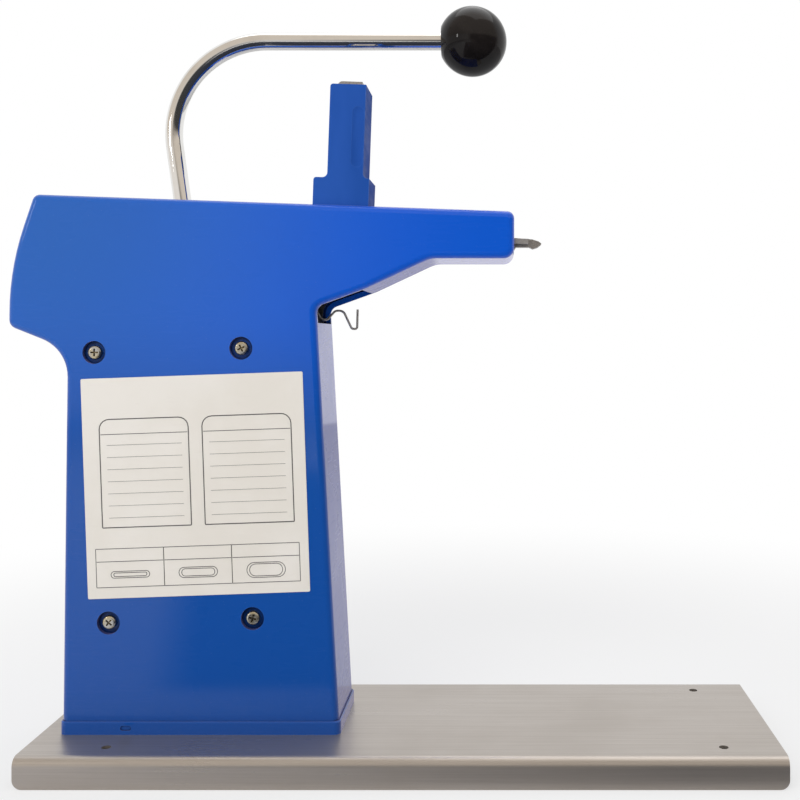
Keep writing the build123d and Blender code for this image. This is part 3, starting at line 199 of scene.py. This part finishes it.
def ranged(tree, value, low, high, to_low=0.0, to_high=1.0):
    """A value brought from one range to another, with soft ends."""
    made = node(tree, "ShaderNodeMapRange", {
        "Value": value,
        "From Min": low,
        "From Max": high,
        "To Min": to_low,
        "To Max": to_high,
    }, interpolation_type="SMOOTHSTEP")
    return made.outputs["Result"]


def spread(tree, value, low=0.0, high=1.0):
    """A noise brought to run from low to high over most of its span."""
    return ranged(tree, value, *NOISE_BAND, low, high)


def calculated(tree, operation, first, second):
    return node(tree, "ShaderNodeMath", {0: first, 1: second}, operation=operation).outputs[0]


def times(tree, first, second):
    return calculated(tree, "MULTIPLY", first, second)


def plus(tree, first, second):
    return calculated(tree, "ADD", first, second)


def larger(tree, first, second):
    return calculated(tree, "MAXIMUM", first, second)


def rgb(red, green, blue):
    return (red, green, blue, 1.0)


def mixed(tree, factor, first, second):
    """A colour between two colours."""
    made = node(tree, "ShaderNodeMix", {0: factor, 6: first, 7: second}, data_type="RGBA")
    return made.outputs[2]


def layered(tree, ground, *layers):
    """A colour with others laid over it in turn; a layer is its mask, strength and colour."""
    for mask, strength, colour in layers:
        ground = mixed(tree, times(tree, mask, strength), ground, colour)
    return ground


def edges(tree, radius):
    """1 along the edges of the solid and 0 on its open faces."""
    bevel = node(tree, "ShaderNodeBevel", {"Radius": radius}, samples=BEVEL_SAMPLES)
    geometry = node(tree, "ShaderNodeNewGeometry")
    match = node(
        tree, "ShaderNodeVectorMath",
        {0: bevel.outputs["Normal"], 1: geometry.outputs["Normal"]}, operation="DOT_PRODUCT",
    )
    return ranged(tree, match.outputs["Value"], *EDGE_BAND)


def crevice_shade_mask(tree, distance):
    """1 in recesses and inner corners of the piece itself, 0 in the open; the materials paint
    shade there with it.
    """
    made = node(
        tree, "ShaderNodeAmbientOcclusion", {"Distance": distance},
        samples=CREVICE_SHADE_SAMPLES, only_local=True,
    )
    return ranged(tree, made.outputs["AO"], *CREVICE_SHADE_BAND)


def specks(tree, scale, reach):
    """Scattered round specks, one in some of the cells."""
    cells = node(tree, "ShaderNodeTexVoronoi", {"Vector": place(tree), "Scale": scale})
    near = ranged(tree, cells.outputs["Distance"], reach, reach * 0.5)
    split = node(tree, "ShaderNodeSeparateColor", {"Color": cells.outputs["Color"]})
    chosen = ranged(tree, split.outputs["Red"], *SPECK_CHOICE_BAND)
    return times(tree, near, chosen)


def bump(tree, height, distance, strength):
    """The surface's direction over small humps; distance is their height in metres."""
    made = node(tree, "ShaderNodeBump", {
        "Height": height,
        "Distance": distance,
        "Strength": strength,
    })
    return made.outputs["Normal"]


# Materials

def casing_blue():
    """Glossy moulded shell with fine rub marks and dust, and edges paler from wear and a painted
    highlight.

    Its blue drifts slowly; a painted sheen turns it greyer at the upper rear, and painted shade
    dims it low down and in its hollows.
    """
    material, tree, shader = new_material("casing_blue_gloss")
    blue = rgb(0.001, 0.092, 0.590)
    lighter = rgb(0.001, 0.102, 0.640)
    # Painted sheen: the greyer blue that stands in for light reflected at the upper rear
    greyer = rgb(0.006, 0.112, 0.450)
    # Painted shade: the dimmer blue for low down, where less light falls
    painted_shade_blue = rgb(0.002, 0.074, 0.350)
    wear_and_highlight = rgb(0.07, 0.21, 0.68)
    crevice_shade_colour = rgb(0.001, 0.009, 0.050)
    dust = rgb(0.40, 0.48, 0.62)
    drift = ranged(tree, noise(tree, 7, detail=2), 0.35, 0.65)
    # Painted sheen: the rear and the raised masks together mark the upper rear
    rear = ranged(tree, place_along(tree, "X"), 0.02, -0.2)
    raised = ranged(tree, place_along(tree, "Z"), 0.05, 0.3)
    # Painted shade: 1 low down on the shell
    low = ranged(tree, place_along(tree, "Z"), 0.255, 0.165)
    # Painted shade: occlusion marks the hollows, which are painted dark, and the coat is thinner
    # there
    recess_shade = crevice_shade_mask(tree, 0.008)
    rubs = ranged(tree, noise(tree, 60, stretch=(1, 1, 9), detail=6), 0.52, 0.72)
    cloud = ranged(tree, noise(tree, 24, detail=3), 0.35, 0.7, to_low=0.24, to_high=0.34)
    waves = bump(tree, noise(tree, 45, detail=1), 0.00004, 0.3)
    feed(tree, shader, {
        "Base Color": layered(
            tree, blue,
            (drift, 1.0, lighter),
            # Painted sheen at the upper rear
            (times(tree, rear, raised), 0.9, greyer),
            # Painted shade low down
            (low, 0.95, painted_shade_blue),
            # Edges paler from wear and a painted highlight
            (edges(tree, MOULDING_EDGE_RADIUS), 0.3, wear_and_highlight),
            # Painted shade darkens the hollows
            (recess_shade, 0.95, crevice_shade_colour),
            (specks(tree, scale=420, reach=0.16), 0.05, dust),
        ),
        "Roughness": plus(tree, cloud, times(tree, rubs, 0.12)),
        "Specular IOR Level": 0.05,
        "Coat Weight": ranged(tree, recess_shade, 0.0, 1.0, to_low=0.95, to_high=0.2),
        "Coat Roughness": 0.07,
        "Coat IOR": 1.45,
        "Sheen Weight": 0.4,
        "Sheen Roughness": 0.45,
        "Sheen Tint": rgb(0.60, 0.50, 1.0),
        "Normal": waves,
        "Coat Normal": waves,
    })
    return material


def tower_blue():
    """The tower's moulding is duller and a little greyer than the shells."""
    material, tree, shader = new_material("tower_blue_satin")
    blue = rgb(0.016, 0.078, 0.350)
    lighter = rgb(0.024, 0.098, 0.420)
    wear_and_highlight = rgb(0.10, 0.22, 0.55)
    crevice_shade_colour = rgb(0.004, 0.024, 0.120)
    drift = ranged(tree, noise(tree, 30, stretch=(1, 1, 0.3), detail=3), 0.35, 0.65)
    feed(tree, shader, {
        "Base Color": layered(
            tree, blue,
            (drift, 1.0, lighter),
            # Edges paler from wear and a painted highlight
            (edges(tree, MOULDING_EDGE_RADIUS), 0.35, wear_and_highlight),
            # Painted shade darkens the hollows of the tower
            (crevice_shade_mask(tree, 0.004), 0.6, crevice_shade_colour),
        ),
        "Roughness": spread(tree, noise(tree, 40, stretch=(1, 1, 5), detail=5), 0.45, 0.6),
        "Specular IOR Level": 0.04,
        "Normal": bump(tree, noise(tree, 700, detail=3), 0.00003, 0.5),
    })
    return material


def brushed(name, pale, dark, stain, along, grain, rough, metal=1.0):
    """Metal with a grain that runs along one axis, a few deeper lines and dull patches."""
    material, tree, shader = new_material(name)
    stretch = tuple(GRAIN_STRETCH if axis == along else 1.0 for axis in "XYZ")
    lines = noise(tree, grain, stretch=stretch, detail=5, roughness=0.7)
    patches = noise(tree, 14, detail=4)
    patch_rough = spread(tree, patches, rough, rough + DULL_PATCH_ROUGHER)
    line_rough = spread(tree, lines, GRAIN_LINE_ROUGHER, 0.0)
    feed(tree, shader, {
        "Base Color": layered(
            tree, dark,
            (spread(tree, lines), 1.0, pale),
            (ranged(tree, patches, 0.5, 0.75), STAIN_STRENGTH, stain),
        ),
        "Metallic": metal,
        "Roughness": plus(tree, patch_rough, line_rough),
        "Normal": bump(tree, lines, 0.00003, 0.6),
    })
    return material


def base_steel():
    """The base plate, brushed along its length."""
    return brushed(
        "base_steel_brushed", along="X", grain=900, rough=0.25, metal=0.78,
        pale=rgb(0.500, 0.456, 0.415), dark=rgb(0.447, 0.404, 0.364), stain=rgb(0.41, 0.37, 0.33),
    )


def frame_steel():
    """Rolled steel of the side plates, pillars, sector and arm."""
    return brushed(
        "frame_steel_rolled", along="X", grain=500, rough=0.38,
        pale=rgb(0.40, 0.40, 0.41), dark=rgb(0.22, 0.22, 0.235), stain=rgb(0.16, 0.15, 0.15),
    )


def ground_steel():
    """Bright steel of the ram, its guide, the shaft and the finger."""
    return brushed(
        "ground_steel_bright", along="Y", grain=1500, rough=0.38,
        pale=rgb(0.62, 0.60, 0.57), dark=rgb(0.42, 0.40, 0.38), stain=rgb(0.30, 0.27, 0.24),
    )


def spring_steel():
    """Drawn wire of the return spring and of the hook."""
    return brushed(
        "spring_steel_drawn", along="Z", grain=1400, rough=0.3, metal=0.6,
        pale=rgb(0.56, 0.53, 0.49), dark=rgb(0.42, 0.39, 0.36), stain=rgb(0.32, 0.29, 0.26),
    )


def cast_alloy():
    """The milled foot block."""
    return brushed(
        "milled_alloy", along="Y", grain=420, rough=0.3,
        pale=rgb(0.62, 0.62, 0.63), dark=rgb(0.48, 0.48, 0.49), stain=rgb(0.40, 0.40, 0.41),
    )


def clip_aluminium():
    """Drawn strip of the clips."""
    return brushed(
        "clip_aluminium_strip", along="Y", grain=1300, rough=0.26,
        pale=rgb(0.82, 0.82, 0.82), dark=rgb(0.70, 0.70, 0.71), stain=rgb(0.62, 0.62, 0.63),
    )


def bronze():
    """The turned bushes of the shaft."""
    return brushed(
        "turned_bronze", along="Z", grain=800, rough=0.3,
        pale=rgb(0.62, 0.42, 0.20), dark=rgb(0.46, 0.29, 0.12), stain=rgb(0.30, 0.20, 0.10),
    )


def zinc_steel():
    """Plated screw steel with the warm and cool tints of its passivation."""
    material, tree, shader = new_material("zinc_plated_steel")
    warm = rgb(0.60, 0.52, 0.34)
    cool = rgb(0.58, 0.58, 0.56)
    dull = rgb(0.2, 0.17, 0.12)
    wear_and_highlight = rgb(0.80, 0.78, 0.72)
    crevice_shade_colour = rgb(0.12, 0.085, 0.03)
    feed(tree, shader, {
        "Base Color": layered(
            tree, warm,
            (ranged(tree, noise(tree, 190, detail=3), 0.38, 0.62), 1.0, cool),
            (ranged(tree, noise(tree, 900, detail=4), 0.55, 0.75), 0.4, dull),
            # Edges paler from wear and a painted highlight
            (edges(tree, SCREW_EDGE_RADIUS), 0.6, wear_and_highlight),
            # Painted shade darkens the drive cross and other hollows of the screw
            (crevice_shade_mask(tree, 0.0015), 1.0, crevice_shade_colour),
        ),
        "Metallic": 1.0,
        "Roughness": spread(tree, noise(tree, 700), 0.2, 0.36),
        "Normal": bump(tree, noise(tree, 1600, detail=3), 0.00003, 0.5),
    })
    return material


def handle_chrome():
    """Polished chrome with faint haze, thin wipe marks and a slightly warm tone."""
    material, tree, shader = new_material("handle_chrome_polished")
    bright = rgb(0.84, 0.83, 0.81)
    hazed = rgb(0.72, 0.70, 0.67)
    haze = noise(tree, 30, detail=5)
    haze_rough = ranged(tree, haze, 0.35, 0.7, to_low=0.05, to_high=0.13)
    wipes = ranged(tree, noise(tree, 900, stretch=(1, 0.03, 1), detail=3), 0.5, 0.8)
    feed(tree, shader, {
        "Base Color": layered(tree, bright, (ranged(tree, haze, 0.4, 0.7), 1.0, hazed)),
        "Metallic": 1.0,
        "Roughness": plus(tree, haze_rough, times(tree, wipes, 0.08)),
        "Normal": bump(tree, noise(tree, 500, detail=2), 0.00001, 0.3),
    })
    return material


def knob_black():
    """Polished black moulding with a touch of handling haze."""
    material, tree, shader = new_material("knob_black_polished")
    black = rgb(0.006, 0.005, 0.005)
    smeared = rgb(0.016, 0.013, 0.012)
    smear = noise(tree, 45, detail=5)
    feed(tree, shader, {
        "Base Color": layered(tree, black, (ranged(tree, smear, 0.4, 0.7), 1.0, smeared)),
        "Roughness": ranged(tree, smear, 0.35, 0.7, to_low=0.05, to_high=0.12),
        "Specular IOR Level": 0.2,
        "Normal": bump(tree, noise(tree, 600, detail=2), 0.00001, 0.4),
    })
    return material


def plate_cream():
    """Satin plate stock: a little yellowed, with faint rubbing."""
    material, tree, shader = new_material("plate_cream_satin")
    cream = rgb(0.84, 0.80, 0.735)
    yellowed = rgb(0.80, 0.755, 0.68)
    rubbed = rgb(0.72, 0.67, 0.60)
    rubbing = ranged(tree, noise(tree, 160, stretch=(1, 1, 3), detail=5), 0.6, 0.8)
    feed(tree, shader, {
        "Base Color": layered(
            tree, cream,
            (ranged(tree, noise(tree, 20, detail=4), 0.35, 0.7), 1.0, yellowed),
            (rubbing, 0.25, rubbed),
        ),
        "Roughness": spread(tree, noise(tree, 90), 0.36, 0.48),
        "Normal": bump(tree, noise(tree, 1200, detail=2), 0.00001, 0.4),
    })
    return material


def printed_ink():
    """Grey ink, thinner in small spots."""
    material, tree, shader = new_material("printed_ink_grey")
    ink = rgb(0.075, 0.07, 0.07)
    thinner = rgb(0.30, 0.28, 0.26)
    spots = ranged(tree, noise(tree, 1500, detail=3), 0.55, 0.8)
    feed(tree, shader, {
        "Base Color": layered(tree, ink, (spots, 0.5, thinner)),
        "Roughness": spread(tree, noise(tree, 400), 0.4, 0.55),
    })
    return material


def stop_rubber():
    """Matt black rubber with dust in its pores."""
    material, tree, shader = new_material("stop_rubber_matt")
    black = rgb(0.018, 0.018, 0.018)
    dusty = rgb(0.06, 0.058, 0.055)
    dust = ranged(tree, noise(tree, 200, detail=5), 0.5, 0.75)
    feed(tree, shader, {
        "Base Color": layered(tree, black, (dust, 1.0, dusty)),
        "Roughness": spread(tree, noise(tree, 500), 0.6, 0.8),
        "Normal": bump(tree, noise(tree, 1500, detail=3), 0.00005, 0.6),
    })
    return material


MATERIAL_OF_SLOT = {
    "casing_blue": casing_blue,
    "base_steel": base_steel,
    "frame_steel": frame_steel,
    "ground_steel": ground_steel,
    "spring_steel": spring_steel,
    "zinc_steel": zinc_steel,
    "handle_chrome": handle_chrome,
    "knob_black": knob_black,
    "plate_cream": plate_cream,
    "cast_alloy": cast_alloy,
    "bronze": bronze,
    "stop_rubber": stop_rubber,
    "clip_aluminium": clip_aluminium,
}


def dress_nodes():
    """Give every node the material of its slot in the record; the tower has a duller blue."""
    made = {slot: make() for slot, make in MATERIAL_OF_SLOT.items()}
    for part in frame["record"]["subparts"]:
        piece = frame["nodes"][part["node"]]
        piece.data.materials.clear()
        piece.data.materials.append(made[part["material_slot"]])
    tower = frame["nodes"]["clip_tower"]
    tower.data.materials[0] = tower_blue()


# Objects of the scene

def add_object(name, data):
    made = bpy.data.objects.new(name, data)
    bpy.context.scene.collection.objects.link(made)
    return made


def add_mesh(name, mesh, material):
    """Turn a finished mesh into an object with one material."""
    data = bpy.data.meshes.new(name)
    mesh.to_mesh(data)
    mesh.free()
    data.materials.append(material)
    return add_object(name, data)


# Printed plate

def plate_point(across, up, proud):
    """A place on the plate, from millimetres across, up and out of its face."""
    x = across * math.cos(PLATE_TURN) - up * math.sin(PLATE_TURN) + PLATE_MIDDLE_MM[0]
    z = across * math.sin(PLATE_TURN) + up * math.cos(PLATE_TURN) + PLATE_MIDDLE_MM[1]
    return Vector((x / MM_IN_METRE, PLATE_FACE_Y - proud / MM_IN_METRE, z / MM_IN_METRE))


def rounded_loop(middle, size, top_radius, low_radius=None):
    """Points round a rectangle with round corners; the lower two may have their own radius."""
    points = []
    for corner, (side_x, side_y) in enumerate(((1, 1), (-1, 1), (-1, -1), (1, -1))):
        radius = top_radius if side_y > 0 or low_radius is None else low_radius
        centre_x = middle[0] + side_x * (size[0] / 2 - radius)
        centre_y = middle[1] + side_y * (size[1] / 2 - radius)
        for step in range(ARC_STEPS + 1):
            angle = math.radians(90 * (corner + step / ARC_STEPS))
            across = centre_x + radius * math.cos(angle)
            up = centre_y + radius * math.sin(angle)
            points.append((across, up))
    return points


def side_of(points, index, closed):
    """The unit vector square to the path at one of its points."""
    last = len(points) - 1
    before = points[index - 1] if index > 0 or closed else points[index]
    after = points[(index + 1) % len(points)] if index < last or closed else points[index]
    run = Vector((after[0] - before[0], after[1] - before[1])).normalized()
    return -run.y, run.x


def add_line(mesh, points, width, closed=True):
    """Add one raised printed line that follows the points."""
    rings = []
    for index, (across, up) in enumerate(points):
        side = side_of(points, index, closed)
        ring = []
        for sign, raised in LINE_PROFILE:
            reach = sign * width / 2
            proud = raised * PRINT_THICK_MM
            corner = plate_point(across + side[0] * reach, up + side[1] * reach, proud)
            ring.append(mesh.verts.new(corner))
        rings.append(ring)
    pairs = list(zip(rings, rings[1:]))
    if closed:
        pairs.append((rings[-1], rings[0]))
    else:
        mesh.faces.new(rings[0])
        mesh.faces.new(rings[-1][::-1])
    for first, second in pairs:
        for here in range(len(LINE_PROFILE)):
            beside = (here + 1) % len(LINE_PROFILE)
            mesh.faces.new((first[here], second[here], second[beside], first[beside]))


def add_level_line(mesh, across, up, half_length, width):
    """Add one straight printed line, with its middle at the place."""
    add_line(mesh, [(across - half_length, up), (across + half_length, up)], width, closed=False)


def add_panels(mesh):
    """Two framed panels, each with a head line and ruled lines."""
    for across, up, width, height in PANELS:
        outline = rounded_loop((across, up), (width, height), PANEL_TOP_R, PANEL_LOW_R)
        add_line(mesh, outline, BOLD_LINE_MM)
        head = up + height / 2 - PANEL_HEAD_DROP
        add_level_line(mesh, across, head, width / 2 - BOLD_LINE_MM, FINE_LINE_MM)
        for row in range(RULE_COUNT):
            level = head - RULE_PITCH * (row + FIRST_RULE_PITCHES)
            add_level_line(mesh, across, level, RULE_HALF_LENGTH, FINE_LINE_MM / 2)


def add_cells(mesh):
    """Three framed cells in a row, each with a head line."""
    for across in CELL_CENTRES:
        add_line(mesh, rounded_loop((across, CELL_ROW_UP), CELL_SIZE, CELL_CORNER_R), FINE_LINE_MM)
        head = CELL_ROW_UP + CELL_SIZE[1] / 2 - CELL_HEAD_DROP
        add_level_line(mesh, across, head, CELL_SIZE[0] / 2 - FINE_LINE_MM, FINE_LINE_MM)


def add_clip_drawings(mesh):
    """A clip in each cell, as the outer and the inner outline of its closed strip."""
    for across, height in zip(CELL_CENTRES, CLIP_DRAWING_HEIGHTS):
        outer = (CLIP_DRAWING_WIDTH, height)
        inner = (outer[0] - CLIP_INNER_SMALLER[0], outer[1] - CLIP_INNER_SMALLER[1])
        for size in (outer, inner):
            radius = size[1] / 2 - CLIP_END_FLAT
            add_line(mesh, rounded_loop((across, CLIP_DRAWING_UP), size, radius), FINE_LINE_MM)


def make_print():
    """The printed lines of the plate, as one thin piece on its face."""
    mesh = bmesh.new()
    add_panels(mesh)
    add_cells(mesh)
    add_clip_drawings(mesh)
    bmesh.ops.recalc_face_normals(mesh, faces=mesh.faces)
    piece = add_mesh("plate_print", mesh, printed_ink())
    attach(piece, "frame")


# Studio

def make_camera():
    data = bpy.data.cameras.new("view")
    data.lens = CAMERA_LENS_MM
    data.sensor_width = CAMERA_SENSOR_MM
    data.shift_x, data.shift_y = CAMERA_SHIFT
    camera = add_object("view", data)
    camera.location = CAMERA_AT
    camera.rotation_euler = CAMERA_TURN
    bpy.context.scene.camera = camera


def add_area_light(name, location, size, power, reflected=True):
    data = bpy.data.lights.new(name, "AREA")
    data.shape = "RECTANGLE"
    data.size, data.size_y = size
    data.energy = power
    lamp = add_object(name, data)
    lamp.location = location
    lamp.rotation_euler = (Vector(AIM_AT) - Vector(location)).to_track_quat("-Z", "Y").to_euler()
    lamp.visible_glossy = reflected


def light_path(tree, *kinds):
    """1 for the kinds of ray that are named, and 0 for the others."""
    path = node(tree, "ShaderNodeLightPath")
    found = path.outputs[kinds[0]]
    for kind in kinds[1:]:
        found = larger(tree, found, path.outputs[kind])
    return found


def make_world():
    """White for the camera; mirroring surfaces see a warm dim room in front and white behind."""
    world = bpy.data.worlds.new("studio")
    bpy.context.scene.world = world
    world.use_nodes = True
    tree = world.node_tree
    left = ranged(tree, place_along(tree, "X", "Generated"), *ROOM_LEFT_BAND)
    high = ranged(tree, place_along(tree, "Z", "Generated"), *ROOM_HIGH_BAND)
    behind = ranged(tree, place_along(tree, "Y", "Generated"), *BACKDROP_BAND)
    front = mixed(tree, high, mixed(tree, left, ROOM_RIGHT, ROOM_LEFT), ROOM_HIGH)
    room = mixed(tree, behind, front, BACKDROP)
    unseen = mixed(tree, light_path(tree, "Is Glossy Ray"), AMBIENT, room)
    seen = light_path(tree, "Is Camera Ray", "Is Transmission Ray")
    feed(tree, tree.nodes["Background"], {
        "Color": mixed(tree, seen, unseen, WHITE),
        "Strength": 1.0,
    })


def dark_floor(tree):
    """1 on the dark strip beside the base and on the dark field in front, and 0 elsewhere."""
    across = place_along(tree, "X")
    toward = place_along(tree, "Y")
    strip_near = ranged(tree, toward, *DARK_STRIP_NEAR_BAND)
    strip = times(tree, strip_near, ranged(tree, across, *DARK_STRIP_RIGHT_BAND))
    slanted = plus(tree, across, times(tree, toward, DARK_FIELD_SLANT))
    field_near = ranged(tree, toward, *DARK_FIELD_NEAR_BAND)
    field_depth = times(tree, field_near, ranged(tree, toward, *DARK_FIELD_FAR_BAND))
    field = times(tree, field_depth, ranged(tree, slanted, *DARK_FIELD_RIGHT_BAND))
    return larger(tree, strip, field)


def floor_material():
    """Pale floor that goes over into the white background; mirroring surfaces see dark parts."""
    material, tree, shader = new_material("floor_pale")
    dark = times(tree, dark_floor(tree), light_path(tree, "Is Glossy Ray"))
    feed(tree, shader, {
        "Base Color": mixed(tree, dark, FLOOR_PALE, FLOOR_DARK),
        "Roughness": FLOOR_ROUGHNESS,
        "Specular IOR Level": FLOOR_SPECULAR,
    })
    reach = node(tree, "ShaderNodeVectorMath", {0: place(tree)}, operation="LENGTH")
    glowing = ranged(
        tree, reach.outputs["Value"], *FLOOR_WHITE_BAND, FLOOR_GLOW_NEAR, FLOOR_GLOW_FAR
    )
    seen = light_path(tree, "Is Camera Ray", "Is Transmission Ray")
    glow = node(tree, "ShaderNodeEmission", {"Color": WHITE, "Strength": 1.0})
    surface = node(tree, "ShaderNodeMixShader", {
        0: times(tree, glowing, seen),
        1: shader.outputs[0],
        2: glow.outputs[0],
    })
    feed(tree, tree.nodes["Material Output"], {"Surface": surface.outputs[0]})
    return material


def make_floor():
    mesh = bmesh.new()
    bmesh.ops.create_circle(mesh, cap_ends=True, segments=FLOOR_SEGMENTS, radius=FLOOR_RADIUS)
    floor = add_mesh("floor", mesh, floor_material())


make_camera()
make_world()
make_floor()
add_area_light("key_light", KEY_AT, KEY_SIZE, KEY_POWER, reflected=False)
add_area_light("top_light", TOP_AT, TOP_SIZE, TOP_POWER)
add_area_light("strip_light", STRIP_AT, STRIP_SIZE, STRIP_POWER)
dress_nodes()
make_print()

bpy.context.scene.view_settings.view_transform = "Standard"
